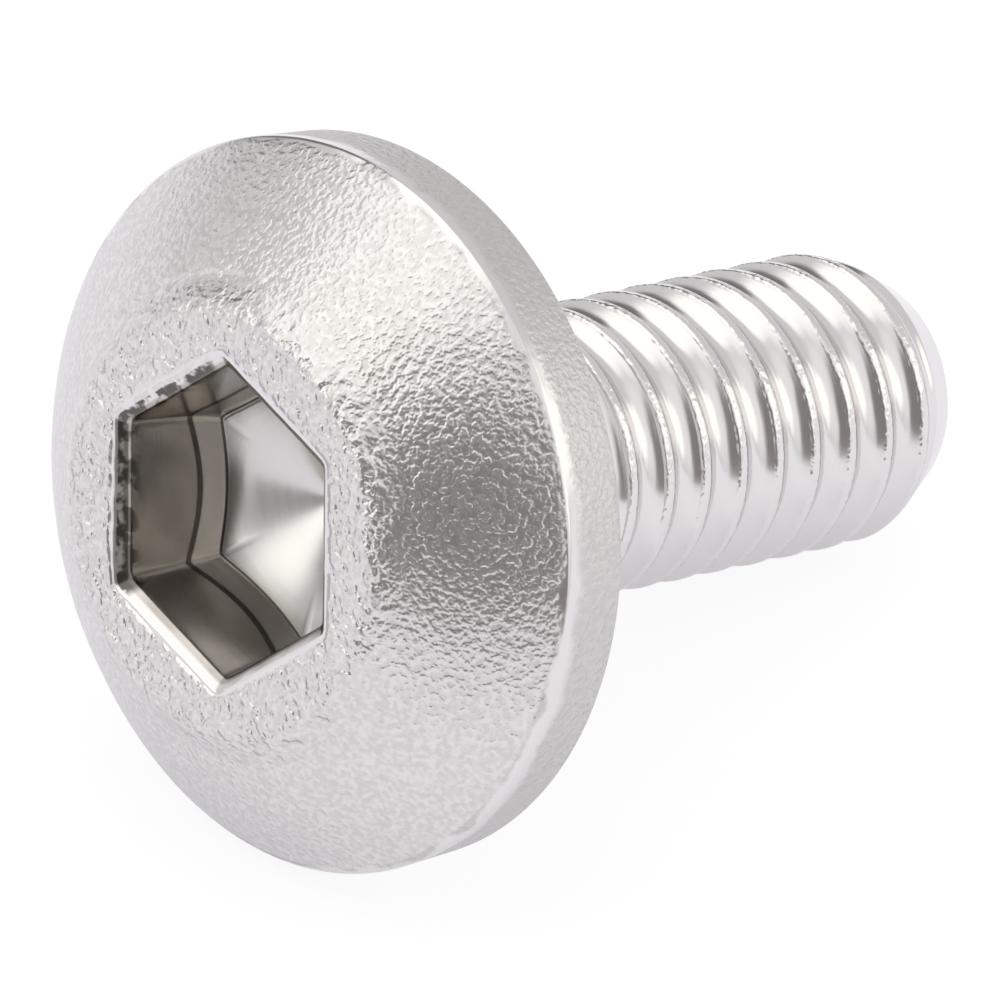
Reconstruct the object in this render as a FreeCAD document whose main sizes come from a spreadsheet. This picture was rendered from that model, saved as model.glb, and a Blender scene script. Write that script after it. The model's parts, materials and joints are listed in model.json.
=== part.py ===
import FreeCAD, Part
import math
import os
import Sketcher
from types import SimpleNamespace

# A fairing screw, forged and thread-rolled from one piece of stainless steel wire.
# Its own frame has the bearing face under the head at height 0, the head above and the shank below.
# Driving sizes in millimetres, except the turns and the angles in degrees.
drivingSizes = {
    "headHeight": 3.93,
    "rimFrontDiameter": 14.5,
    "rimBackDiameter": 14.3,
    "rimWidth": 1.5,
    "rimBackBevel": 0.08,
    "faceDiameter": 8.7,
    "shoulderFlare": 0.275,
    "shoulderDrop": 0.42,
    "shoulderFootRadius": 0.5,
    "faceEdgeBevel": 0.2,
    "mouthAcross": 5.9,
    "mouthDepth": 0.18,
    "socketTopAcross": 5.4,
    "socketAcross": 5.1,
    "wallDepth": 1.75,
    "noseAcross": 4.74,
    "noseLength": 0.55,
    "punchTipLength": 1.1,
    "socketTurn": 19.5,
    "shankLength": 13.9,
    "threadDiameter": 5.82,
    "threadPitch": 1.0,
    "grooveDepth": 0.56,
    "crestWidth": 0.14,
    "rootWidth": 0.22,
    "runOutTurns": 0.6,
    "runOutAngle": 30.0,
    "neckDiameter": 5.3,
    "neckLength": 1.0,
    "neckStep": 0.3,
    "neckBevel": 0.32,
    "chamferLength": 1.33,
    "tipDiameter": 4.3,
    "tipEdgeBevel": 0.12,
    "restTurn": 180.0,
}
# How far the cutting sections reach past the metal, and how finely the rest position is found.
grooveOverrun = 0.08
floorMargin = 0.4
restMeshStep = 0.01
steepestRest = 60.0
restSteps = 40


class Length:
    """A size: its present value, and the formula that ties it to the sheet."""

    def __init__(self, value, formula=None):
        self.value = float(value)
        self.formula = formula or repr(float(value))

    def joined(self, sign, other, value):
        return Length(value, "(%s %s %s)" % (self.formula, sign, other.formula))

    def __add__(self, other):
        return self.joined("+", other, self.value + other.value)

    def __sub__(self, other):
        return self.joined("-", other, self.value - other.value)

    def __mul__(self, other):
        return self.joined("*", other, self.value * other.value)

    def __truediv__(self, other):
        return self.joined("/", other, self.value / other.value)


zero = Length(0)
two = Length(2)
rootOfThree = Length(math.sqrt(3))

doc = FreeCAD.newDocument("FairingScrew")
sheet = doc.addObject("Spreadsheet::Sheet", "Sizes")
for row, (alias, number) in enumerate(drivingSizes.items(), start=1):
    sheet.set("A%d" % row, alias)
    sheet.set("B%d" % row, str(number))
    sheet.setAlias("B%d" % row, alias)
doc.recompute()
size = SimpleNamespace(**{name: Length(getattr(sheet, name), "Sizes." + name) for name in drivingSizes})
shoulderDiameter = size.faceDiameter + size.shoulderFlare * two
shoulderHeight = size.headHeight - size.shoulderDrop
wallEnd = size.headHeight - size.wallDepth
noseEnd = wallEnd - size.noseLength
punchTip = noseEnd - size.punchTipLength

screw = doc.addObject("PartDesign::Body", "Screw")
screw.Label = "fairing_screw"


def originPlane(role):
    """Find one of the body's own origin planes by its role."""
    for feature in screw.Origin.OriginFeatures:
        if feature.Role == role:
            return feature
    raise ValueError("the body has no " + role)


def newSketch(name, role, height=None):
    """Start a sketch on an origin plane, or at a height above it."""
    sketch = screw.newObject("Sketcher::SketchObject", name)
    sketch.AttachmentSupport = (originPlane(role), [""])
    sketch.MapMode = "FlatFace"
    if height:
        sketch.setExpression("AttachmentOffset.Base.z", height.formula)
    return sketch


def bindConstraint(sketch, constraint, length):
    """Add a measured constraint and tie its value to the sheet."""
    index = sketch.addConstraint(constraint)
    sketch.renameConstraint(index, "size%d" % index)
    sketch.setExpression("Constraints.size%d" % index, length.formula)


def pinPoint(sketch, edge, end, spot):
    """Hold one end of an edge at a spot given by two lengths from the sketch's origin."""
    for kind, axis, length in (("DistanceX", -2, spot[0]), ("DistanceY", -1, spot[1])):
        if length is zero:
            sketch.addConstraint(Sketcher.Constraint("PointOnObject", edge, end, axis))
        elif length.value > 0:
            bindConstraint(sketch, Sketcher.Constraint(kind, -1, 1, edge, end, length.value), length)
        else:
            below = zero - length
            bindConstraint(sketch, Sketcher.Constraint(kind, edge, end, -1, 1, below.value), below)


def endNear(sketch, edge, place):
    """Say which end of an edge, 1 or 2, lies at a place."""
    gaps = [(sketch.getPoint(edge, end) - place).Length for end in (1, 2)]
    return 1 if gaps[0] < gaps[1] else 2


def crownedEdge(start, finish):
    """An arc between two places whose centre lies on the upright axis, so that it turns into a ball's surface."""
    centreHeight = (finish.x**2 + finish.y**2 - start.x**2 - start.y**2) / (2 * (finish.y - start.y))
    centre = FreeCAD.Vector(0, centreHeight, 0)
    outward = ((start + finish) / 2 - centre).normalize()
    return Part.Arc(start, centre + outward * (start - centre).Length, finish)


def drawOutline(sketch, spots, crowned=None):
    """Draw a closed outline through the spots. The edge with the crowned number is an arc about the axis."""
    places = [FreeCAD.Vector(across.value, up.value, 0) for across, up in spots]
    edges = []
    for index, start in enumerate(places):
        finish = places[(index + 1) % len(places)]
        line = crownedEdge(start, finish) if index == crowned else Part.LineSegment(start, finish)
        edges.append(sketch.addGeometry(line, False))
    for index, edge in enumerate(edges):
        before = edges[index - 1]
        endHere = endNear(sketch, edge, places[index])
        endBefore = endNear(sketch, before, places[index])
        sketch.addConstraint(Sketcher.Constraint("Coincident", before, endBefore, edge, endHere))
        pinPoint(sketch, edge, endHere, spots[index])
    if crowned is not None:
        sketch.addConstraint(Sketcher.Constraint("PointOnObject", edges[crowned], 3, -2))


def drawHexagon(sketch, across, turn):
    """Draw a regular hexagon by its width across flats, with one corner turned from the X axis."""
    cornerRadius = across / rootOfThree
    circle = Part.Circle(FreeCAD.Vector(), FreeCAD.Vector(0, 0, 1), cornerRadius.value)
    ring = sketch.addGeometry(circle, True)
    sketch.addConstraint(Sketcher.Constraint("Coincident", ring, 3, -1, 1))
    bindConstraint(sketch, Sketcher.Constraint("Radius", ring, cornerRadius.value), cornerRadius)
    angles = [math.radians(turn.value + 60 * index) for index in range(6)]
    corners = [FreeCAD.Vector(math.cos(angle), math.sin(angle), 0) * cornerRadius.value for angle in angles]
    sides = []
    for index, corner in enumerate(corners):
        sides.append(sketch.addGeometry(Part.LineSegment(corner, corners[(index + 1) % 6]), False))
    for index, side in enumerate(sides):
        sketch.addConstraint(Sketcher.Constraint("Coincident", sides[index - 1], 2, side, 1))
        sketch.addConstraint(Sketcher.Constraint("PointOnObject", side, 1, ring))
        if index:
            sketch.addConstraint(Sketcher.Constraint("Equal", sides[0], side))
    spoke = sketch.addGeometry(Part.LineSegment(FreeCAD.Vector(), corners[0]), True)
    sketch.addConstraint(Sketcher.Constraint("Coincident", spoke, 1, -1, 1))
    sketch.addConstraint(Sketcher.Constraint("Coincident", spoke, 2, sides[0], 1))
    bindConstraint(sketch, Sketcher.Constraint("Angle", -1, 1, spoke, 1, angles[0]), turn)


def addFeature(kind, name, sketch):
    feature = screw.newObject("PartDesign::" + kind, name)
    feature.Profile = sketch
    return feature


def settle(feature, grows):
    """Recompute, and make sure that the feature adds or removes metal as it should."""
    before = feature.BaseFeature.Shape.Volume if feature.BaseFeature else 0.0
    doc.recompute()
    change = feature.Shape.Volume - before
    if change == 0 or (change > 0) != grows:
        raise ValueError("%s changes the volume by %.6f" % (feature.Name, change))
    return feature


def turnProfile(name, sketch):
    """Turn a profile about the screw's axis into metal."""
    feature = addFeature("Revolution", name, sketch)
    feature.ReferenceAxis = (sketch, ["V_Axis"])
    return settle(feature, grows=True)


def ringEdge(shape, diameter, height):
    """Name the round edge about the screw's axis with this diameter and height."""
    closest = None
    for index, edge in enumerate(shape.Edges, start=1):
        curve = edge.Curve
        if isinstance(curve, Part.Circle):
            miss = abs(2 * curve.Radius - diameter.value) + abs(curve.Center.z - height.value)
            if closest is None or miss < closest[0]:
                closest = (miss, "Edge%d" % index)
    return closest[1]


def roundEdge(name, base, radius, diameter, height):
    feature = screw.newObject("PartDesign::Fillet", name)
    feature.Base = (base, [ringEdge(base.Shape, diameter, height)])
    feature.setExpression("Radius", radius.formula)
    doc.recompute()
    return feature


def bevelEdge(name, base, width, diameter, height):
    feature = screw.newObject("PartDesign::Chamfer", name)
    feature.Base = (base, [ringEdge(base.Shape, diameter, height)])
    feature.setExpression("Size", width.formula)
    doc.recompute()
    return feature


def makeHead():
    """Turn the head: bearing face, rim, crowned dome, raised shoulder and flat face."""
    sketch = newSketch("HeadProfile", "XZ_Plane")
    spots = [
        (zero, zero),
        (size.rimBackDiameter / two, zero),
        (size.rimFrontDiameter / two, size.rimWidth),
        (shoulderDiameter / two, shoulderHeight),
        (size.faceDiameter / two, size.headHeight),
        (zero, size.headHeight),
    ]
    drawOutline(sketch, spots, crowned=2)
    return turnProfile("Head", sketch)


def makeShank():
    """Turn the shank: the neck under the head, the step up to the thread and the chamfered tip."""
    sketch = newSketch("ShankProfile", "XZ_Plane")
    neckEnd = zero - size.neckLength
    tip = zero - size.shankLength
    spots = [
        (zero, zero),
        (zero, tip),
        (size.tipDiameter / two, tip),
        (size.threadDiameter / two, tip + size.chamferLength),
        (size.threadDiameter / two, neckEnd - size.neckStep),
        (size.neckDiameter / two, neckEnd),
        (size.neckDiameter / two, zero),
    ]
    drawOutline(sketch, spots)
    return turnProfile("Shank", sketch)


def softenEdges(base):
    """Soften the edges as forging and tumbling do."""
    base = bevelEdge("FaceEdge", base, size.faceEdgeBevel, size.faceDiameter, size.headHeight)
    base = roundEdge("ShoulderFoot", base, size.shoulderFootRadius, shoulderDiameter, shoulderHeight)
    base = bevelEdge("RimBack", base, size.rimBackBevel, size.rimBackDiameter, zero)
    base = bevelEdge("NeckRoot", base, size.neckBevel, size.neckDiameter, zero)
    return bevelEdge("TipEdge", base, size.tipEdgeBevel, size.tipDiameter, zero - size.shankLength)


def punchSocket():
    """Punch the hexagon socket: a lead-in at its mouth, the walls, and the narrower band of the punch's nose."""
    noseDraft = (size.socketAcross - size.noseAcross) / size.noseLength
    tipAcross = size.socketAcross - noseDraft * (wallEnd - punchTip)
    levels = [
        ("MouthHexagon", size.headHeight, size.mouthAcross),
        ("TopHexagon", size.headHeight - size.mouthDepth, size.socketTopAcross),
        ("WallHexagon", wallEnd, size.socketAcross),
        ("TipHexagon", punchTip, tipAcross),
    ]
    sketches = []
    for name, height, across in levels:
        sketches.append(newSketch(name, "XY_Plane", height))
        drawHexagon(sketches[-1], across, size.socketTurn)
    doc.recompute()
    for name, upper, lower in zip(("LeadIn", "Walls", "Nose"), sketches, sketches[1:]):
        loft = addFeature("SubtractiveLoft", name, upper)
        loft.Sections = [lower]
        loft.Ruled = True
        settle(loft, grows=False)


def closeSocketFloor():
    """Give back the metal below the punch's shallow conical tip."""
    sketch = newSketch("FloorProfile", "XZ_Plane")
    cornerRadius = size.noseAcross / rootOfThree
    margin = Length(floorMargin)
    outer = cornerRadius + margin
    rise = size.punchTipLength * outer / cornerRadius
    spots = [
        (zero, punchTip),
        (zero, punchTip - margin),
        (outer, punchTip - margin),
        (outer, punchTip + rise),
    ]
    drawOutline(sketch, spots)
    return turnProfile("SocketFloor", sketch)


def rollThread():
    """Roll the thread: one helical groove down past the tip, and its run-out up into the neck."""
    sketch = newSketch("GrooveSection", "XZ_Plane")
    middle = zero - size.neckLength - size.neckStep - size.threadPitch
    overrun = Length(grooveOverrun)
    rootHalf = size.rootWidth / two
    crestHalf = (size.threadPitch - size.crestWidth) / two
    mouthHalf = crestHalf + (crestHalf - rootHalf) * overrun / size.grooveDepth
    root = size.threadDiameter / two - size.grooveDepth
    mouth = size.threadDiameter / two + overrun
    spots = [
        (root, middle - rootHalf),
        (mouth, middle - mouthHalf),
        (mouth, middle + mouthHalf),
        (root, middle + rootHalf),
    ]
    drawOutline(sketch, spots)
    doc.recompute()
    groove = addFeature("SubtractiveHelix", "ThreadGroove", sketch)
    groove.ReferenceAxis = (sketch, ["V_Axis"])
    groove.Mode = "pitch-height-angle"
    groove.Reversed = True
    groove.setExpression("Pitch", size.threadPitch.formula)
    groove.setExpression("Height", (size.shankLength - size.neckLength).formula)
    settle(groove, grows=False)
    runOut = addFeature("SubtractiveHelix", "ThreadRunOut", sketch)
    runOut.ReferenceAxis = (sketch, ["V_Axis"])
    runOut.Mode = "pitch-turns-angle"
    runOut.setExpression("Pitch", size.threadPitch.formula)
    runOut.setExpression("Turns", size.runOutTurns.formula)
    runOut.setExpression("Angle", size.runOutAngle.formula)
    return settle(runOut, grows=False)


def layDown():
    """Lay the screw as it comes to rest, on its rim and on a thread crest near the tip."""
    turned = FreeCAD.Rotation(FreeCAD.Vector(0, 0, 1), size.restTurn.value)
    points = [turned.multVec(point) for point in screw.Shape.tessellate(restMeshStep)[0]]
    head = [point for point in points if point.z >= 0]
    shank = [point for point in points if point.z < 0]

    def lowest(group, slope):
        return min(point.x * math.cos(slope) + point.z * math.sin(slope) for point in group)

    level, steep = 0.0, math.radians(steepestRest)
    for _ in range(restSteps):
        slope = (level + steep) / 2
        if lowest(head, slope) < lowest(shank, slope):
            level = slope
        else:
            steep = slope
    tilt = FreeCAD.Rotation(FreeCAD.Vector(0, 1, 0), math.degrees(slope) - 90)
    rested = [tilt.multVec(point) for point in points]
    along = [point.x for point in rested]
    side = [point.y for point in rested]
    middle = FreeCAD.Vector((min(along) + max(along)) / 2, (min(side) + max(side)) / 2, lowest(points, slope))
    screw.Placement = FreeCAD.Placement(FreeCAD.Vector() - middle, tilt * turned)
    print("rests with its axis %.2f degrees from level" % math.degrees(slope))


def checkModel():
    """Stop if any object of the document failed, or if the screw isn't one sound solid."""
    for item in doc.Objects:
        if "Invalid" in item.State or "Error" in item.State:
            raise ValueError("%s failed: %s" % (item.Name, item.State))
    shape = screw.Shape
    if shape.isNull() or not shape.isValid() or len(shape.Solids) != 1:
        raise ValueError("the screw isn't one valid solid")


makeHead()
softenEdges(makeShank())
punchSocket()
closeSocketFloor()
rollThread()
doc.recompute()
layDown()
doc.recompute()
checkModel()
os.makedirs("parts", exist_ok=True)
screw.Shape.exportStep("parts/%s.step" % screw.Label)
print("volume %.2f mm3, box %s" % (screw.Shape.Volume, screw.Shape.optimalBoundingBox(False)))
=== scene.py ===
import json
import math

import bmesh
import bpy
from mathutils import Matrix, Vector, noise


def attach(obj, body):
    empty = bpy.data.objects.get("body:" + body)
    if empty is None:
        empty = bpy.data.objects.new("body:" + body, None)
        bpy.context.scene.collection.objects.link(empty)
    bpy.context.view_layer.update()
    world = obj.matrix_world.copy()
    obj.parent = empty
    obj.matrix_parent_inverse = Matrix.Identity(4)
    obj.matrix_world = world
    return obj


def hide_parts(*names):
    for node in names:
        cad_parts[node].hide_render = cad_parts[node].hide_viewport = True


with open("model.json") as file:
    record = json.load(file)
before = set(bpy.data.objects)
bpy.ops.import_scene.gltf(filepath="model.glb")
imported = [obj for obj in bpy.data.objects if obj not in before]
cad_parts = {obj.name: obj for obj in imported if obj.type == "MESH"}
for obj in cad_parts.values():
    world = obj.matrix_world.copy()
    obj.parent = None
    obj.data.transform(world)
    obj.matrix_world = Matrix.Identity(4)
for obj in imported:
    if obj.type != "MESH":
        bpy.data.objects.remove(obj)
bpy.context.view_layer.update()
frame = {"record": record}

print("stage 1: frame loaded")

# The screw's own frame: millimetres, bearing face at height 0, head above, shank below.
millimetre = 0.001
columnCount = 216  # columns round the screw, shared equally by the socket's six sides
mergeReach = 0.0005  # points nearer than this are one point
shortEdge = 0.0001  # edges shorter than this are dropped

head = {
    "height": 3.93,
    "joinRadius": 3.3,  # where the head's mesh meets the shank's, on the bearing face
    "rimBackRadius": 7.15,
    "rimBackSoftness": 0.1,
    "rimFrontRadius": 7.25,
    "rimWidth": 1.5,
    "creaseSoftness": 0.24,
    "shoulderRadius": 4.85,
    "shoulderDrop": 0.545,
    "shoulderSoftness": 0.4,
    "faceRadius": 4.24,
    "faceSoftness": 0.3,
    "faceInnerRadius": 3.85,
    "bearingRows": 6,
    "rimRows": 8,
    "crownRows": 26,
    "shoulderRows": 2,
    "faceRows": 3,
    "dentDepth": 0.012,
    "dentSize": 1.1,
    "dentLevels": (1.0, 2.0, 3),  # roughness, step and number of the finer levels
    "foldAzimuth": -139.0,  # middle of the cold fold at the shoulder's foot, in degrees
    "foldSpread": 34.0,
    "foldRadius": 4.74,
    "foldWidth": 0.1,
    "foldDepth": 0.12,
    "foldRagged": 0.06,
    "foldWaves": 3.0,  # of its ragged line, per millimetre
    "dentRise": 0.6,  # how far above the crease the dents reach their full depth
    "dentInner": (2.75, 3.25),  # radii over which they set in beyond the lip
}
socket = {
    "turn": 19.5,  # azimuth of one corner, in degrees
    "cornerPower": 70,  # higher is sharper
    "mouthAcross": 5.9,
    "mouthSoftness": 0.05,
    "topAcross": 5.4,
    "topDepth": 0.2,
    "topSoftness": 0.08,
    "wallAcross": 5.12,
    "wallCornerDepth": 1.62,
    "wallBulge": 0.33,  # how much deeper the wall ends at the middle of each side
    "wallSoftness": 0.05,
    "noseAcross": 4.76,
    "noseCornerDepth": 2.28,
    "noseBulge": 0.17,
    "grooveWidth": 0.08,
    "grooveDepth": 0.05,
    "grooveSoftness": 0.02,
    "footSoftness": 0.03,
    "coneRadius": 1.85,  # the floor is a true cone inside this
    "coneSoftness": 0.3,
    "tipDepth": 3.2,
    "tornAzimuth": -95.0,  # middle of the torn part of the lip, in degrees
    "tornSpread": 62.0,
    "lipTear": 0.05,
    "lipTearSize": 0.35,
    "lipTearRadius": 3.0,  # of the circle on which the lip's unevenness is read
    "lipTearSlice": 3.0,
    "lipWear": 0.012,
}
socketRows = [5, 3, 12, 6, 1, 4, 14]  # over the lip, lead-in, wall, nose, groove, foot and floor
bendRows = 6  # steps round each softened corner
shank = {
    "length": 13.9,
    "neckRadius": 2.65,
    "neckLength": 1.0,
    "neckSoftness": 0.32,
    "stepLength": 0.3,
    "chamferLength": 1.33,
    "tipRadius": 2.15,
    "tipSoftness": 0.16,
    "cornerSoftness": 0.15,
    "bendRows": 8,
}
thread = {
    "Radius": 2.91,
    "Pitch": 1.0,
    "Crest Height": -2.8,  # height of one crest at azimuth 0
    "Groove Depth": 0.32,
    "Crest Width": 0.1,
    "Root Fullness": 2.0,  # higher is rounder
    "Crest Rounding": 0.05,
    "Run-Out Start": -2.1,
    "Run-Out End": -1.3,
    "Crest Margin": 0.05,  # how far the crest's own form reaches above the blank
    "Edge Blend": 0.06,
    "Wear": 0.03,
    "Wear Size": 0.3,
    "Wear Inner Radius": 1.6,  # the tip's flat end keeps smooth inside this
    "Wear Outer Radius": 2.2,
    "Seed": 4.0,
}
rowsPerTurn = 24
spareTurns = 2  # turns of the grid beyond the outline's length
rowCrowding = 0.55  # how much closer the rows lie at crests and roots than on the flanks
wearDetail = 2.0
clearShare = 0.5  # share of the height up to the run-out's end where the groove is clear of the head


class Wire:  # an output that can stand in an expression
    def __init__(self, graph, outlet):
        self.graph = graph
        self.outlet = outlet

    def maths(self, operation, *others):
        values = dict(enumerate((self, *others)))
        return self.graph.node("ShaderNodeMath", {"operation": operation}, values)

    def __add__(self, other):
        return self.maths("ADD", other)

    def __sub__(self, other):
        return self.maths("SUBTRACT", other)

    def __rsub__(self, other):
        return self.graph.number(other).maths("SUBTRACT", self)

    def __mul__(self, other):
        return self.maths("MULTIPLY", other)

    def __truediv__(self, other):
        return self.maths("DIVIDE", other)

    def __rtruediv__(self, other):
        return self.graph.number(other).maths("DIVIDE", self)


class Graph:  # a node tree that is written as expressions
    def __init__(self, tree):
        self.tree = tree
        self.tree.nodes.clear()

    def node(self, kind, settings=None, values=None, output=0):
        made = self.tree.nodes.new(kind)
        for name, value in (settings or {}).items():
            setattr(made, name, value)
        for key, value in (values or {}).items():
            if isinstance(value, Wire):
                self.tree.links.new(value.outlet, made.inputs[key])
            else:
                made.inputs[key].default_value = value
        return Wire(self, made.outputs[output]) if made.outputs else None

    def number(self, value):
        made = self.tree.nodes.new("ShaderNodeValue")
        made.outputs[0].default_value = value
        return Wire(self, made.outputs[0])

    def sibling(self, wire, output):
        return Wire(self, wire.outlet.node.outputs[output])

    def vector(self, operation, *values, output=0):
        settings = {"operation": operation}
        return self.node("ShaderNodeVectorMath", settings, dict(enumerate(values)), output)

    def lumps(self, place, size, detail, seed=None):
        # A noise whose lumps are about size across, in the units of place.
        values = {"Vector": place, "Scale": 1 / size, "Detail": detail}
        if seed is None:
            return self.node("ShaderNodeTexNoise", None, values)
        return self.node("ShaderNodeTexNoise", {"noise_dimensions": "4D"}, {**values, "W": seed})

    def ramped(self, value, low, high, lowTo=0.0, highTo=1.0):
        limits = {"Value": value, "From Min": low, "From Max": high, "To Min": lowTo, "To Max": highTo}
        return self.node("ShaderNodeMapRange", {"interpolation_type": "SMOOTHSTEP"}, limits)

    def faded(self, value, low, high):
        return self.ramped(value, low, high, 1.0, 0.0)

    def mixed(self, factor, first, second):
        values = {0: factor, 6: first, 7: second}
        return self.node("ShaderNodeMix", {"data_type": "RGBA"}, values, output=2)


def softPath(corners, rows, bendRows=bendRows):
    # corners are (radius, height, softness), and rows are the steps of each straight stretch.
    spots = [Vector((radius, height)) for radius, height, softness in corners]
    stretches = []
    leave = spots[0]
    bends = []
    for before, spot, after, corner in zip(spots, spots[1:], spots[2:], corners[1:]):
        softness = min(corner[2], (spot - before).length / 2, (after - spot).length / 2)
        arrive = spot + (before - spot).normalized() * softness
        stretches.append((leave, arrive))
        leave = spot + (after - spot).normalized() * softness
        bends.append((arrive, spot, leave) if softness else None)
    stretches.append((leave, spots[-1]))
    path = [spots[0]]
    for (start, finish), steps, bend in zip(stretches, rows, bends + [None]):
        path += [start.lerp(finish, step / steps) for step in range(1, steps + 1)]
        if bend:
            for step in range(1, bendRows + 1):
                share = step / bendRows
                inward = bend[0].lerp(bend[1], share)
                outward = bend[1].lerp(bend[2], share)
                path.append(inward.lerp(outward, share))
    return path


def towards(azimuth, elevation):
    # The direction of a compass point in degrees, at a height in degrees.
    azimuth, elevation = math.radians(azimuth), math.radians(elevation)
    level = math.cos(elevation)
    return Vector((math.cos(azimuth) * level, math.sin(azimuth) * level, math.sin(elevation)))


def placeInRow():
    # The matrix from the screw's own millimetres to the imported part's metres, from the socket's mount.
    mounts = {mount["name"]: mount for mount in frame["record"]["mounts"]}
    upScrew = Vector(mounts["hex_socket"]["axis"]).normalized()
    sideways = Vector((0, -1, 0))
    across = sideways.cross(upScrew)
    foot = Vector(mounts["hex_socket"]["pos_m"]) - upScrew * head["height"] * millimetre
    turned = Matrix((across, sideways, upScrew)).transposed().to_4x4()
    return Matrix.Translation(foot) @ turned @ Matrix.Scale(millimetre, 4)


def columnAngles():
    start = math.radians(socket["turn"])
    return [start + 2 * math.pi * index / columnCount for index in range(columnCount)]


def hexRadius(across, angle):
    # Radius of a hexagon with softened corners, at an azimuth.
    power = socket["cornerPower"]
    total = 0.0
    for index in range(6):
        toFlat = math.radians(socket["turn"] + 30 + 60 * index)
        total += max(math.cos(angle - toFlat), 0.0) ** power
    return across / 2 / total ** (1 / power)


def crownPoints():
    # The dome is part of a ball whose centre lies on the screw's axis.
    outer = Vector((head["rimFrontRadius"], head["rimWidth"]))
    inner = Vector((head["shoulderRadius"], head["height"] - head["shoulderDrop"]))
    rise = inner.y - outer.y
    centre = Vector((0, (inner.length_squared - outer.length_squared) / (2 * rise)))
    ballRadius = (outer - centre).length
    low = math.atan2(outer.y - centre.y, outer.x)
    high = math.atan2(inner.y - centre.y, inner.x)
    points = []
    for row in range(1, head["crownRows"]):
        angle = low + (high - low) * row / head["crownRows"]
        points.append((ballRadius * math.cos(angle), centre.y + ballRadius * math.sin(angle), 0.0))
    return points


def outerPath():
    # Bearing face, rim, crease, dome, shoulder and the outer part of the flat face.
    top = head["height"]
    corners = [
        (head["joinRadius"], 0.0, 0.0),
        (head["rimBackRadius"], 0.0, head["rimBackSoftness"]),
        (head["rimFrontRadius"], head["rimWidth"], head["creaseSoftness"]),
        *crownPoints(),
        (head["shoulderRadius"], top - head["shoulderDrop"], head["shoulderSoftness"]),
        (head["faceRadius"], top, head["faceSoftness"]),
        (head["faceInnerRadius"], top, 0.0),
    ]
    rows = [head["bearingRows"], head["rimRows"]] + [1] * head["crownRows"]
    return softPath(corners, rows + [head["shoulderRows"], head["faceRows"]])


def socketPath(angle):
    # One column of the socket, from the flat face over the lip, down the wall and in to the tip.
    top = head["height"]
    share = math.remainder(math.degrees(angle) - socket["turn"] - 30, 60) / 30
    fromCorner = 1 - share * share
    wallDepth = socket["wallCornerDepth"] + socket["wallBulge"] * fromCorner
    noseDepth = socket["noseCornerDepth"] + socket["noseBulge"] * fromCorner
    onLip = Vector((math.cos(angle), math.sin(angle), socket["lipTearSlice"]))
    tear = noise.noise(onLip * socket["lipTearRadius"] / socket["lipTearSize"])
    away = abs(math.remainder(math.degrees(angle) - socket["tornAzimuth"], 360))
    tearing = socket["lipTear"] if away < socket["tornSpread"] else socket["lipWear"]
    mouth = hexRadius(socket["mouthAcross"], angle) + tear * tearing
    nose = hexRadius(socket["noseAcross"], angle)
    inFromNose = nose - socket["grooveWidth"]
    cornerRadius = socket["noseAcross"] / 3**0.5
    floorSlope = (socket["tipDepth"] - socket["noseCornerDepth"]) / cornerRadius
    coneDepth = socket["tipDepth"] - floorSlope * socket["coneRadius"]
    corners = [
        (head["faceInnerRadius"], top, 0.0),
        (mouth, top, socket["mouthSoftness"]),
        (hexRadius(socket["topAcross"], angle), top - socket["topDepth"], socket["topSoftness"]),
        (hexRadius(socket["wallAcross"], angle), top - wallDepth, socket["wallSoftness"]),
        (nose, top - noseDepth - socket["grooveDepth"], socket["grooveSoftness"]),
        (inFromNose, top - noseDepth - socket["grooveWidth"] * floorSlope, socket["footSoftness"]),
        (socket["coneRadius"], top - coneDepth, socket["coneSoftness"]),
        (0.0, top - socket["tipDepth"], 0.0),
    ]
    return softPath(corners, socketRows)


def stageRow():
    # How far down the socket each of its rings lies: a whole number at each bend, 1 at the lip.
    row = [0.0]
    for number, steps in enumerate(socketRows):
        row += [number + step / steps for step in range(1, steps + 1)] + [number + 1] * bendRows
    return row


def dented(spot):
    # Shallow forging dents in the dome and the face, and the fold at the shoulder's foot.
    swell = noise.fractal(spot / head["dentSize"], *head["dentLevels"]) * head["dentDepth"]
    radius = math.hypot(spot.x, spot.y)
    azimuth = math.degrees(math.atan2(spot.y, spot.x))
    away = abs(math.remainder(azimuth - head["foldAzimuth"], 360)) / head["foldSpread"]
    ragged = head["foldRagged"] * noise.noise(spot * head["foldWaves"])
    across = (radius - head["foldRadius"] - ragged) / head["foldWidth"]
    fold = max(1 - away * away, 0) * math.exp(-across * across)
    return swell - head["foldDepth"] * fold


def domeShare(radius, height):
    # 1 on the dome and the face, 0 at the crease, on the rim and in the socket.
    start, full = head["dentInner"]
    rise = (height - head["rimWidth"]) / head["dentRise"]
    outwards = (radius - start) / (full - start)
    return min(max(rise, 0), 1) * min(max(outwards, 0), 1)


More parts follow.
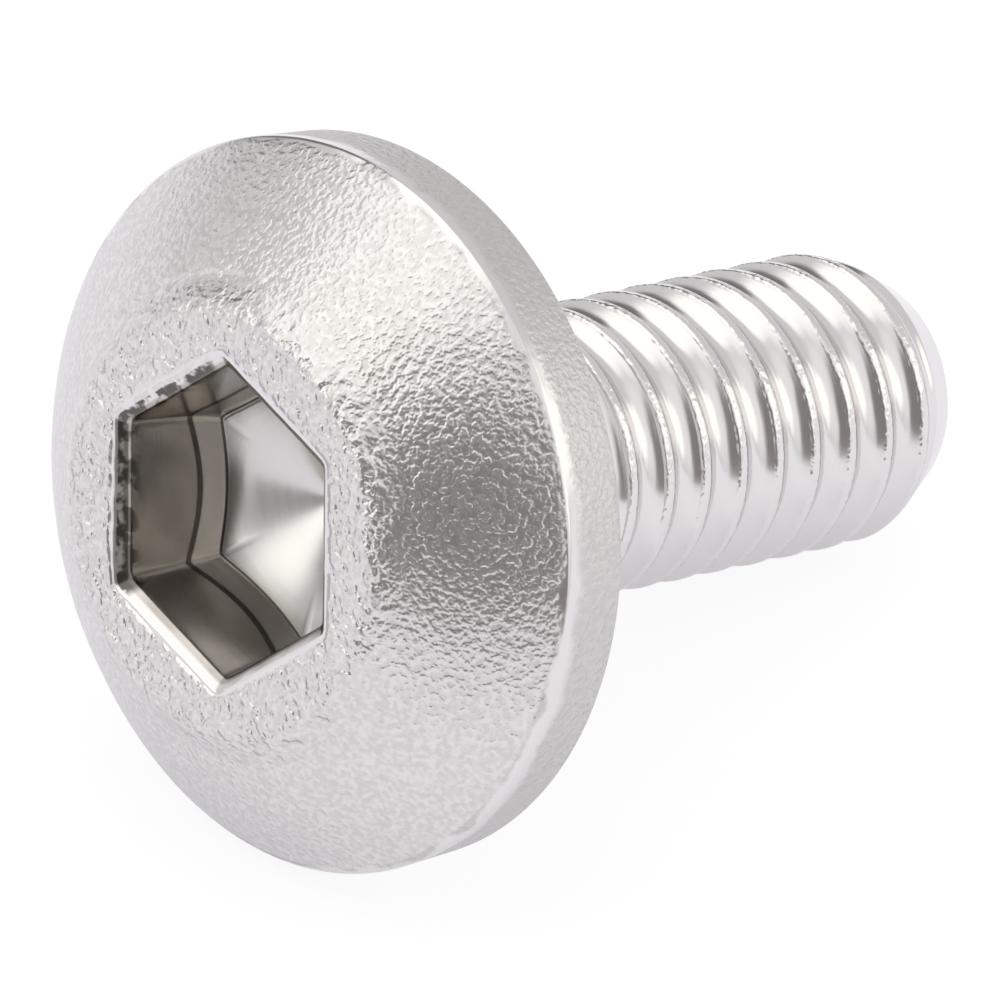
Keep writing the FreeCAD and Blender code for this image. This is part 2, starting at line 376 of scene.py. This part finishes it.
def makeHead(mesh):
    # Adds the head's rings of points and faces to the mesh.
    angles = columnAngles()
    outer = outerPath()
    inner = [socketPath(angle) for angle in angles]
    rings = [([(spot.x, spot.y)] * columnCount, 0.0) for spot in outer]
    innerStages = stageRow()
    for row in range(1, len(inner[0]) - 1):
        rings.append(([tuple(path[row]) for path in inner], innerStages[row]))
    stageLayer = mesh.verts.layers.float.new("stage")
    ringPoints = []
    for ring, stage in rings:
        points = []
        for (radius, height), angle in zip(ring, angles):
            spot = Vector((radius * math.cos(angle), radius * math.sin(angle), height))
            spot.z += dented(spot) * domeShare(radius, height)
            point = mesh.verts.new(spot)
            point[stageLayer] = stage
            points.append(point)
        ringPoints.append(points)
    for lower, upper in zip(ringPoints, ringPoints[1:]):
        for column in range(columnCount):
            after = (column + 1) % columnCount
            mesh.faces.new((lower[column], lower[after], upper[after], upper[column]))
    tip = mesh.verts.new((0, 0, head["height"] - socket["tipDepth"]))
    tip[stageLayer] = len(socketRows)
    last = ringPoints[-1]
    for column in range(columnCount):
        mesh.faces.new((last[column], last[(column + 1) % columnCount], tip))


def shankPath():
    # The blank's outline: bearing face, neck, thread's outside, chamfer and the middle of the tip.
    neckEnd = -shank["neckLength"]
    tip = -shank["length"]
    corners = [
        (head["joinRadius"], 0.0, 0.0),
        (shank["neckRadius"], 0.0, shank["neckSoftness"]),
        (shank["neckRadius"], neckEnd, shank["cornerSoftness"]),
        (thread["Radius"], neckEnd - shank["stepLength"], shank["cornerSoftness"]),
        (thread["Radius"], tip + shank["chamferLength"], shank["cornerSoftness"]),
        (shank["tipRadius"], tip, shank["tipSoftness"]),
        (0.0, tip, 0.0),
    ]
    return softPath(corners, [1] * (len(corners) - 1), shank["bendRows"])


def addProfileObject(path):
    profile = bpy.data.meshes.new("shankOutline")
    points = [(spot.x, 0, spot.y) for spot in path]
    profile.from_pydata(points, [(index, index + 1) for index in range(len(points) - 1)], [])
    holder = bpy.data.objects.new("shankOutline", profile)
    bpy.context.scene.collection.objects.link(holder)
    return holder


def threadTree(steel):
    # Nodes that wind a grid round the blank's outline and sink the thread's groove into it.
    tree = bpy.data.node_groups.new("rolledThread", "GeometryNodeTree")
    graph = Graph(tree)
    tree.interface.new_socket("Geometry", in_out="INPUT", socket_type="NodeSocketGeometry")
    for name in (*thread, "Turns", "Length", "Row Offset", "First Azimuth"):
        tree.interface.new_socket(name, in_out="INPUT", socket_type="NodeSocketFloat")
    for name in ("Columns", "Rows"):
        tree.interface.new_socket(name, in_out="INPUT", socket_type="NodeSocketInt")
    tree.interface.new_socket("Geometry", in_out="OUTPUT", socket_type="NodeSocketGeometry")
    entry = graph.node("NodeGroupInput")
    given = {item.name: Wire(graph, item) for item in entry.outlet.node.outputs if item.name}
    pitch = given["Pitch"]

    gridValues = {"Vertices X": given["Columns"], "Vertices Y": given["Rows"]}
    grid = graph.node("GeometryNodeMeshGrid", None, {"Size X": 1.0, "Size Y": 1.0, **gridValues})
    across = graph.node("ShaderNodeSeparateXYZ", None, {0: graph.node("GeometryNodeInputPosition")})
    around = across + 0.5
    turns = (graph.sibling(across, 1) + 0.5) * given["Turns"]
    crowded = turns - (turns * (4 * math.pi)).maths("SINE") * (rowCrowding / (4 * math.pi))
    along = (crowded + given["Row Offset"] - around) * pitch
    along = along.maths("MAXIMUM", 0.0).maths("MINIMUM", given["Length"])
    outline = graph.node("GeometryNodeMeshToCurve", None, {"Mesh": given["Geometry"]})
    sampleSettings = {"mode": "LENGTH", "use_all_curves": True, "data_type": "FLOAT"}
    sampled = {"Curves": outline, "Length": along}
    sample = graph.node("GeometryNodeSampleCurve", sampleSettings, sampled, output=1)
    blank = graph.node("ShaderNodeSeparateXYZ", None, {0: sample})
    height = graph.sibling(blank, 2)

    azimuth = around * (2 * math.pi) + given["First Azimuth"]
    phase = (height - given["Crest Height"]) / pitch - azimuth / (2 * math.pi)
    fromCrest = phase.maths("PINGPONG", 0.5) * pitch
    flankStart = given["Crest Width"] / 2
    share = (fromCrest - flankStart) / (pitch / 2 - flankStart)
    share = share.maths("SMOOTH_MAX", 0.0, given["Crest Rounding"]).maths("MINIMUM", 1.0)
    sink = 1 - (1 - share).maths("POWER", given["Root Fullness"])
    sink = sink * graph.ramped(height, given["Run-Out Start"], given["Run-Out End"], 1.0, 0.0)
    toX = azimuth.maths("COSINE")
    toY = azimuth.maths("SINE")
    place = graph.node("ShaderNodeCombineXYZ", None, {0: toX, 1: toY, 2: height})
    worn = graph.lumps(place, given["Wear Size"], wearDetail, given["Seed"]) - 0.5
    clearFrom = given["Run-Out End"]
    clearOfHead = graph.ramped(height, clearFrom, clearFrom * clearShare, 0.0, head["joinRadius"])
    grooved = given["Radius"] + given["Crest Margin"] - given["Groove Depth"] * sink + clearOfHead
    radius = blank.maths("SMOOTH_MIN", grooved, given["Edge Blend"])
    onThread = graph.ramped(height, given["Run-Out End"], given["Run-Out Start"])
    onThread = onThread * graph.ramped(blank, given["Wear Inner Radius"], given["Wear Outer Radius"])
    radius = radius + worn * given["Wear"] * onThread
    wound = graph.node("ShaderNodeCombineXYZ", None, {0: radius * toX, 1: radius * toY, 2: height})
    moved = graph.node("GeometryNodeSetPosition", None, {"Geometry": grid, "Position": wound})
    merging = {"Geometry": moved, "Distance": mergeReach}
    merged = graph.node("GeometryNodeMergeByDistance", None, merging)
    realized = graph.node("GeometryNodeRealizeInstances", None, {"Geometry": merged})
    dressing = {"Geometry": realized, "Material": steel}
    finished = graph.node("GeometryNodeSetMaterial", None, dressing)
    graph.node("NodeGroupOutput", None, {"Geometry": finished})
    return tree


def makeShankMesh(steel):
    path = shankPath()
    lengths = [(after - before).length for before, after in zip(path, path[1:])]
    total = sum(lengths)
    middle = next(index for index, spot in enumerate(path) if spot.y < -shank["length"] / 2)
    toMiddle = sum(lengths[:middle])
    pitch = thread["Pitch"]
    turns = math.ceil(total / pitch) + spareTurns
    # How far along the outline a crest lies in the grid's first column, so that rows follow crests.
    crestAlong = toMiddle + path[middle].y - thread["Crest Height"]
    crestAlong -= pitch * socket["turn"] / 360
    rowOffset = crestAlong / pitch - math.floor(crestAlong / pitch) - 1
    holder = addProfileObject(path)
    modifier = holder.modifiers.new("rolledThread", "NODES")
    modifier.node_group = threadTree(steel)
    values = {**thread, "Turns": turns, "Length": total, "Row Offset": rowOffset}
    values["First Azimuth"] = math.radians(socket["turn"])
    values.update({"Columns": columnCount + 1, "Rows": turns * rowsPerTurn + 1})
    for item in modifier.node_group.interface.items_tree:
        if item.in_out == "INPUT" and item.name in values:
            whole = item.socket_type == "NodeSocketInt"
            modifier[item.identifier] = (int if whole else float)(values[item.name])
    bpy.context.view_layer.update()
    evaluated = holder.evaluated_get(bpy.context.evaluated_depsgraph_get())
    mesh = bpy.data.meshes.new_from_object(evaluated)
    bpy.data.objects.remove(holder)
    return mesh


def makeScrew(steel):
    shankMesh = makeShankMesh(steel)
    print("stage 2: thread wound,", len(shankMesh.polygons), "faces")
    mesh = bmesh.new()
    mesh.from_mesh(shankMesh)
    makeHead(mesh)
    bmesh.ops.remove_doubles(mesh, verts=mesh.verts, dist=mergeReach)
    bmesh.ops.dissolve_degenerate(mesh, edges=mesh.edges, dist=shortEdge)
    bmesh.ops.recalc_face_normals(mesh, faces=mesh.faces)
    loose = [edge for edge in mesh.edges if len(edge.link_faces) != 2]
    print("stage 3: head joined,", len(mesh.faces), "faces,", len(loose), "open edges")
    skin = bpy.data.meshes.new("dressed_screw")
    mesh.to_mesh(skin)
    mesh.free()
    skin.transform(placeInRow())
    skin.materials.clear()
    skin.materials.append(steel)
    for face in skin.polygons:
        face.use_smooth = True
        face.material_index = 0
    piece = bpy.data.objects.new("dressed_screw", skin)
    bpy.context.scene.collection.objects.link(piece)
    return piece


zones = {  # both ends of each zone's soft edge, in millimetres
    "shank": (-0.02, 0.02),  # heights round the bearing face
    "rim": 0.05,  # how far the edge reaches in from the rim's back radius
    "crest": 0.07,  # and in from the thread's radius
    # the worn band along the crease, which also carries a painted highlight:
    "wornSheenRimSide": (0.15, 0.45),  # heights below the crease
    "wornSheenDomeSide": (-0.14, -0.04),
    "wornSheenRadius": (6.9, 7.0),
}
stages = {  # the same, in stages down the socket
    "lip": (0.8, 1.0),
    "tornTop": (0.97, 1.1),
    "wall": (1.5, 1.9),
    "tornEnd": (1.95, 2.2),
    "nose": (3.0, 3.1),
    "foot": (4.5, 5.0),
    "floor": (5.0, 6.2),
    "lines": [(3.0, 0.03, 0.9), (4.0, 0.06, 1.0)],  # the painted shade lines at the wall's end and in the groove: stage, half width and strength
}
lumps = {  # how large each noise's lumps are, in millimetres, and its finer levels
    "grain": (0.13, 1.0),  # of the blasted dome
    "peel": (0.3, 2.0),  # of the coarser skin on the flat face
    "swell": (0.8, 2.0),
    "cloud": (0.9, 3.0),  # of the worn band and painted highlight along the crease
    "drawn": (0.7, 3.0),  # of the fine lines on thread and socket
    "bead": (0.16, 1.0),  # of the burrs along the thread's crest
    "blotch": (1.3, 3.0),  # of the uneven blotches in the socket's painted shade
    "shred": (0.3, 3.0),  # of the torn lip
}
steel = {
    "colour": (0.76, 0.735, 0.73, 1),
    "pitted": (0.6, 0.577, 0.568, 1),  # the grain's low spots, darkened as painted shade in its hollows
    "rimColour": (0.64, 0.62, 0.612, 1),
    "wall": (0.45, 0.42, 0.39, 1),  # the socket's walls, darkened as painted shade of the recess
    # the lighter blotches of the same painted shade
    "wallShadeBlotch": (0.58, 0.545, 0.51, 1),
    # nose, floorFoot and floor: the socket's nose band, the corner at its floor and the floor, darkened
    # as painted shade of the recess
    "nose": (0.66, 0.63, 0.6, 1),
    "floorFoot": (0.5, 0.485, 0.465, 1),
    "floor": (0.66, 0.645, 0.63, 1),
    "line": (0.1, 0.09, 0.082, 1),  # painted shade in the socket's groove and along the wall's end
    "torn": (0.13, 0.118, 0.108, 1),
    "tornEdge": 0.06,  # how softly the torn part ends, as a cosine
    "cloudReach": 0.45,  # how far the worn band and painted highlight along the crease stray, in millimetres
    "grainContrast": (0.3, 0.7),
    "peelContrast": (0.3, 0.6),
    "blotchContrast": (0.4, 0.7),
    "shredContrast": (0.4, 0.55),
    "grainDepth": 0.0115,  # depths are in millimetres
    "peelDepth": 0.042,
    "swellDepth": 0.02,
    "drawnDepth": 0.002,
    "beadDepth": 0.03,
    "drawnStretch": 9.0,
    "faceSmoothing": 0.5,  # how much of the grain the face has lost
    "rimGrain": 1.3,  # how much of the grain the rim has
    "pitShare": 0.7,
    "headRoughness": 0.28,
    "rimRoughness": 0.42,
    "creaseRoughness": 0.16,
    "socketRoughness": 0.2,
    "threadRoughness": 0.17,
}


def steelMaterial():
    material = bpy.data.materials.new("stainlessSteel")
    material.use_nodes = True
    graph = Graph(material.node_tree)
    inRow = placeInRow()
    turned = {"Location": inRow.translation, "Rotation": inRow.to_euler(), "Scale": inRow.to_scale()}
    place = graph.node("ShaderNodeTexCoord", output="Object")
    place = graph.node("ShaderNodeMapping", {"vector_type": "TEXTURE"}, {"Vector": place, **turned})
    height = graph.sibling(graph.node("ShaderNodeSeparateXYZ", None, {0: place}), 2)
    flat = graph.vector("MULTIPLY", place, (1, 1, 0))
    radius = graph.vector("LENGTH", flat, output=1)
    outward = graph.vector("NORMALIZE", flat)
    stage = graph.node("ShaderNodeAttribute", {"attribute_name": "stage"}, output="Fac")

    # Where each part of the skin lies, as shares of 0 to 1.
    onShank = graph.faded(height, *zones["shank"])
    inSocket = graph.ramped(stage, *stages["wall"])
    onNose = graph.ramped(stage, *stages["nose"])
    onFoot = graph.ramped(stage, *stages["foot"])
    onFloor = graph.ramped(stage, *stages["floor"])
    onRim = graph.ramped(radius, head["rimBackRadius"] - zones["rim"], head["rimBackRadius"])
    onFace = graph.faded(radius, head["faceRadius"], head["shoulderRadius"])
    blasted = graph.faded(stage, *stages["lip"]) * (1 - onShank)
    onCrest = graph.ramped(radius, thread["Radius"] - zones["crest"], thread["Radius"]) * onShank

    # A smoother, less grainy worn band along the rim's crease, of uneven width. On the rim it keeps the
    # dome's lighter colour instead of the rim's, a painted highlight.
    cloud = graph.lumps(place, *lumps["cloud"])
    fromCrease = head["rimWidth"] - height + (cloud - 0.5) * steel["cloudReach"]
    onCrease = graph.faded(fromCrease, *zones["wornSheenRimSide"])
    onCrease = onCrease * graph.ramped(fromCrease, *zones["wornSheenDomeSide"])
    onCrease = onCrease * graph.ramped(radius, *zones["wornSheenRadius"])

    # The relief: blasted grain, the face's coarser skin, drawn lines and the crests' burrs.
    grain = graph.ramped(graph.lumps(place, *lumps["grain"]), *steel["grainContrast"])
    peel = graph.ramped(graph.lumps(place, *lumps["peel"]), *steel["peelContrast"]) * onFace
    swell = graph.lumps(place, *lumps["swell"])
    keep = (1 - onRim * (1 - steel["rimGrain"])) * (1 - onCrease)
    skin = grain * (1 - onFace * steel["faceSmoothing"]) * steel["grainDepth"]
    skin = (skin + peel * steel["peelDepth"]) * keep + swell * steel["swellDepth"]
    alongAxis = graph.vector("MULTIPLY", place, (0, 0, steel["drawnStretch"]))
    drawn = graph.lumps(graph.vector("ADD", outward, alongAxis), *lumps["drawn"])
    beads = graph.lumps(place, *lumps["bead"])
    relief = skin * blasted + drawn * steel["drawnDepth"] * (1 - blasted)
    relief = relief + beads * steel["beadDepth"] * onCrest
    bumpValues = {"Height": relief, "Distance": millimetre, "Strength": 1.0}
    bump = graph.node("ShaderNodeBump", None, bumpValues)

    # The colours, from the dome to the socket's floor.
    # Painted shade in the hollows of the grain, none along the crease.
    pitShade = (1 - grain) * steel["pitShare"] * keep * blasted
    # The rim's darker colour, left out along the crease as a painted highlight.
    colour = graph.mixed(onRim * (1 - onCrease), steel["colour"], steel["rimColour"])
    colour = graph.mixed(pitShade, colour, steel["pitted"])
    blotch = graph.ramped(graph.lumps(place, *lumps["blotch"]), *steel["blotchContrast"])
    # Painted shade in the socket: the walls darkened, in blotches between two dark tones.
    shadeAndBlotch = graph.mixed(blotch, steel["wall"], steel["wallShadeBlotch"])
    colour = graph.mixed(inSocket, colour, shadeAndBlotch)
    # Painted shade further down the socket: the nose band, darkest at the floor's foot, and the floor.
    colour = graph.mixed(onNose, colour, steel["nose"])
    colour = graph.mixed(onFoot, colour, steel["floorFoot"])
    colour = graph.mixed(onFloor, colour, steel["floor"])
    # Painted shade: dark lines along the wall's end and in the groove.
    wallShadeLine, grooveShadeLine = [
        graph.ramped((stage - middle).maths("ABSOLUTE"), 0.0, halfWidth, strength, 0.0)
        for middle, halfWidth, strength in stages["lines"]
    ]
    tornTo = towards(socket["tornAzimuth"], 0)
    nearTorn = graph.vector("DOT_PRODUCT", outward, tornTo, output=1)
    tornLimit = math.cos(math.radians(socket["tornSpread"]))
    shreds = graph.ramped(graph.lumps(place, *lumps["shred"]), *steel["shredContrast"])
    torn = graph.ramped(nearTorn, tornLimit, tornLimit + steel["tornEdge"]) * shreds
    torn = torn * graph.ramped(stage, *stages["tornTop"]) * graph.faded(stage, *stages["tornEnd"])
    colour = graph.mixed(torn, colour, steel["torn"])
    colour = graph.mixed(wallShadeLine + grooveShadeLine, colour, steel["line"])

    rougher = steel["rimRoughness"] - steel["headRoughness"]
    headRoughness = onRim * rougher + steel["headRoughness"]
    headRoughness = headRoughness * (1 - onCrease) + onCrease * steel["creaseRoughness"]
    roughness = blasted * headRoughness + onShank * steel["threadRoughness"]
    roughness = roughness + (1 - blasted - onShank) * steel["socketRoughness"]
    values = {"Base Color": colour, "Metallic": 1.0, "Roughness": roughness, "Normal": bump}
    shader = graph.node("ShaderNodeBsdfPrincipled", None, values)
    graph.node("ShaderNodeOutputMaterial", None, {"Surface": shader})
    return material


photoView = {
    "elevation": 39.803,  # degrees that the camera looks down
    "heading": -40.818,  # azimuth of the picture's right-hand direction
    "distance": 0.6,
    "pixelsPerMetre": 51720.0,  # at the middle of the screw's flat face
    "facePixel": (218.75, 524.15),
    "picture": 1000.0,
    "sensorWidth": 36,
    "nearClip": 0.01,
}


def addCamera():
    heading = math.radians(photoView["heading"])
    elevation = math.radians(photoView["elevation"])
    right = Vector((math.cos(heading), math.sin(heading), 0))
    level = Vector((-math.sin(heading), math.cos(heading), 0))
    up = level * math.sin(elevation) + Vector((0, 0, math.cos(elevation)))
    forward = right.cross(up) * -1
    half = photoView["picture"] / 2
    offset = [(pixel - half) / photoView["pixelsPerMetre"] for pixel in photoView["facePixel"]]
    facePlace = placeInRow() @ Vector((0, 0, head["height"]))
    stand = facePlace - right * offset[0] + up * offset[1] - forward * photoView["distance"]
    lens = bpy.data.cameras.new("camera")
    lens.sensor_width = photoView["sensorWidth"]
    pictureShare = photoView["pixelsPerMetre"] * photoView["distance"] / photoView["picture"]
    lens.lens = pictureShare * lens.sensor_width
    lens.clip_start = photoView["nearClip"]
    camera = bpy.data.objects.new("camera", lens)
    turned = Matrix((right, up, -forward)).transposed().to_4x4()
    camera.matrix_world = Matrix.Translation(stand) @ turned
    bpy.context.scene.collection.objects.link(camera)
    bpy.context.scene.camera = camera


floorPaper = {
    "size": 0.5,
    "colour": (0.92, 0.92, 0.94, 1),
    "seen": (1.08, 1.08, 1.08, 1),  # how the camera sees it, beside its shading
    "mirrored": (1.32, 1.32, 1.43, 1),  # how the steel sees it
    "brightShare": 0.8,
    "mirroredShare": 0.3,
}


def addFloor():
    material = bpy.data.materials.new("paper")
    material.use_nodes = True
    graph = Graph(material.node_tree)
    diffuse = graph.node("ShaderNodeBsdfDiffuse", None, {"Color": floorPaper["colour"]})
    seen = graph.node("ShaderNodeLightPath", output="Is Camera Ray")
    mirrored = graph.node("ShaderNodeLightPath", output="Is Glossy Ray")
    glowColour = graph.mixed(seen, floorPaper["mirrored"], floorPaper["seen"])
    glow = graph.node("ShaderNodeEmission", None, {"Color": glowColour, "Strength": 1.0})
    factor = seen * floorPaper["brightShare"]
    factor = factor.maths("MAXIMUM", mirrored * floorPaper["mirroredShare"])
    surface = graph.node("ShaderNodeMixShader", None, {0: factor, 1: diffuse, 2: glow})
    graph.node("ShaderNodeOutputMaterial", None, {"Surface": surface})
    size = floorPaper["size"]
    mesh = bpy.data.meshes.new("paper")
    corners = [(-size, -size, 0), (size, -size, 0), (size, size, 0), (-size, size, 0)]
    mesh.from_pydata(corners, [], [(0, 1, 2, 3)])
    mesh.materials.append(material)
    floor = bpy.data.objects.new("paper", mesh)
    bpy.context.scene.collection.objects.link(floor)


studio = {
    "walls": (0.75, 0.75, 0.76, 1),
    "seen": (1, 1, 1, 1),  # what the camera sees past the paper
    "panels": {  # azimuth, elevation, all of it within and none beyond (degrees), colour
        "softWall": (-100, 42, 18, 48, (1.0, 1.0, 1.0, 1)),
        "leftBox": (150, 55, 11, 32, (1.34, 1.34, 1.29, 1)),
        "lowBox": (151, 26, 9, 21, (1.6, 1.6, 1.53, 1)),
        "backBox": (78, 66, 22, 34, (1.38, 1.38, 1.34, 1)),
        "tipBox": (-36, 19, 12, 22, (1.4, 1.4, 1.33, 1)),
        "sideBox": (-63, 28, 14, 27, (1.4, 1.4, 1.33, 1)),
        "cameraShade": (-153, 18, 28, 41, (0.26, 0.247, 0.237, 1)),
        "backShade": (66, 18, 13, 25, (0.2, 0.19, 0.188, 1)),
    },
}


def addStudio():
    # Soft boxes and shades in a pale room. The camera itself sees plain white.
    world = bpy.data.worlds.new("studio")
    bpy.context.scene.world = world
    world.use_nodes = True
    graph = Graph(world.node_tree)
    direction = graph.node("ShaderNodeTexCoord", output="Generated")
    colour = studio["walls"]
    for azimuth, elevation, inner, outer, panel in studio["panels"].values():
        nearness = graph.vector("DOT_PRODUCT", direction, towards(azimuth, elevation), output=1)
        limits = math.cos(math.radians(outer)), math.cos(math.radians(inner))
        colour = graph.mixed(graph.ramped(nearness, *limits), colour, panel)
    seen = graph.node("ShaderNodeLightPath", output="Is Camera Ray")
    colour = graph.mixed(seen, colour, studio["seen"])
    room = graph.node("ShaderNodeBackground", None, {"Color": colour})
    graph.node("ShaderNodeOutputWorld", None, {"Surface": room})


steelFinish = steelMaterial()
screw = makeScrew(steelFinish)
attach(screw, "root")
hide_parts("fairing_screw")
addFloor()
addStudio()
addCamera()
bpy.context.scene.view_settings.view_transform = "Standard"
print("stage 4: scene set")
